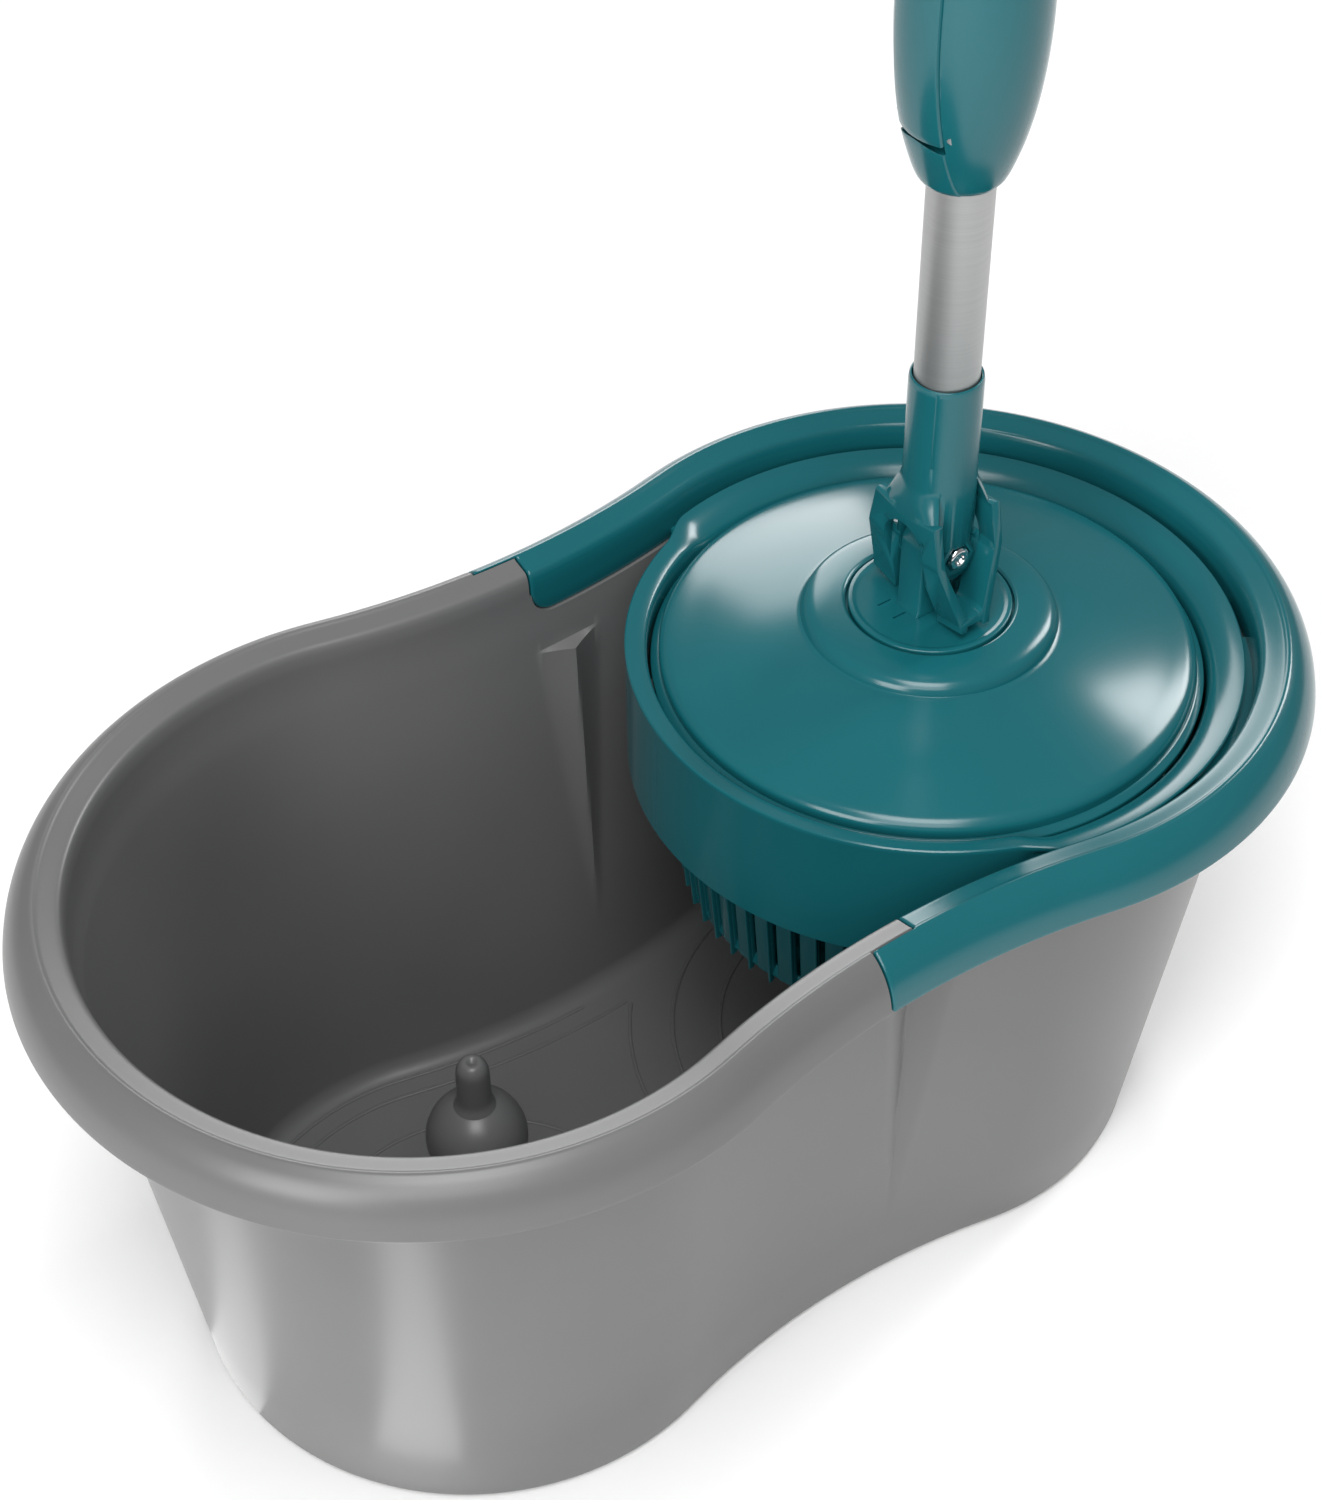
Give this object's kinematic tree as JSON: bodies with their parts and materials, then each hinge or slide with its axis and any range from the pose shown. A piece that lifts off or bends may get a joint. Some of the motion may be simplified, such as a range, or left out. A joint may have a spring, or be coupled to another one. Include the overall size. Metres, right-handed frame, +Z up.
{
  "type": "spin mop with bucket",
  "caption": "Telescopic spin mop standing in the slotted basket of a waisted two-bowl bucket, with a wash post in the front bowl and a tilting handle.",
  "frame": {"origin": "on the floor, under the middle of the bucket", "axes": "+Z up along the handle; +X from the wash bowl to the spinner bowl; +Y across the bucket"},
  "size_m": [0.4062, 0.2328, 1.12],
  "materials": {
    "teal_plastic": "glossy moulded polypropylene, dark teal",
    "grey_plastic": "semi-gloss moulded polypropylene, mid grey",
    "white_microfibre": "soft looped microfibre, off-white",
    "satin_steel": "satin stainless steel tube",
    "chrome_steel": "bright plated steel",
    "nylon": "natural nylon"
  },
  "bodies": {
    "bucket_body": {"bucket": "grey_plastic", "spinner_collar": "teal_plastic", "wash_post": "grey_plastic", "wash_pin": "grey_plastic", "basket_post": "grey_plastic", "basket_spindle": "satin_steel", "thrust_washer": "nylon"},
    "basket_body": {"basket": "teal_plastic", "basket_bush": "nylon", "basket_cap": "teal_plastic"},
    "mop_head": {"mop_plate": "teal_plastic", "hub_disc": "teal_plastic", "head_bush": "nylon", "hub_retainer": "nylon", "refill_ring": "white_microfibre", "refill_strands": "white_microfibre"},
    "lower_handle": {"yoke": "teal_plastic", "pivot_bolt": "chrome_steel", "pivot_nut": "chrome_steel", "lower_tube": "satin_steel", "clutch_housing": "nylon", "clutch_cap": "nylon"},
    "drive": {"drive_nut": "nylon"},
    "upper_handle": {"upper_tube": "satin_steel", "twist_bar": "satin_steel", "bar_plug": "nylon", "lock_grip": "teal_plastic", "lever_pin": "satin_steel", "hand_grip": "teal_plastic", "hang_cap": "teal_plastic"},
    "lever": {"lock_lever": "teal_plastic"}
  },
  "joints": [
    {"name": "basket_spin", "type": "hinge", "parent": "bucket_body", "child": "basket_body", "pos_m": [0.088, 0, 0.09], "axis": [0, 0, 1], "continuous": true},
    {"name": "mop_lift", "type": "slide", "parent": "basket_body", "child": "mop_head", "axis": [0, 0, 1], "range_m": [0, 0.25]},
    {"name": "handle_tilt", "type": "hinge", "parent": "mop_head", "child": "lower_handle", "pos_m": [0.088, 0, 0.211], "axis": [0, 1, 0], "range_deg": [-85, 85]},
    {"name": "nut_spin", "type": "hinge", "parent": "lower_handle", "child": "drive", "pos_m": [0.088, 0, 0.776], "axis": [0, 0, 1], "continuous": true},
    {"name": "handle_slide", "type": "slide", "parent": "lower_handle", "child": "upper_handle", "axis": [0, 0, 1], "range_m": [-0.055, 0.27]},
    {"name": "lever_open", "type": "hinge", "parent": "upper_handle", "child": "lever", "pos_m": [0.0745, 0, 0.353], "axis": [0, -1, 0], "range_deg": [0, 75]}
  ],
  "couplings": [
    {"joint": "nut_spin", "follows": "handle_slide", "rad_per_m": -52.36}
  ]
}
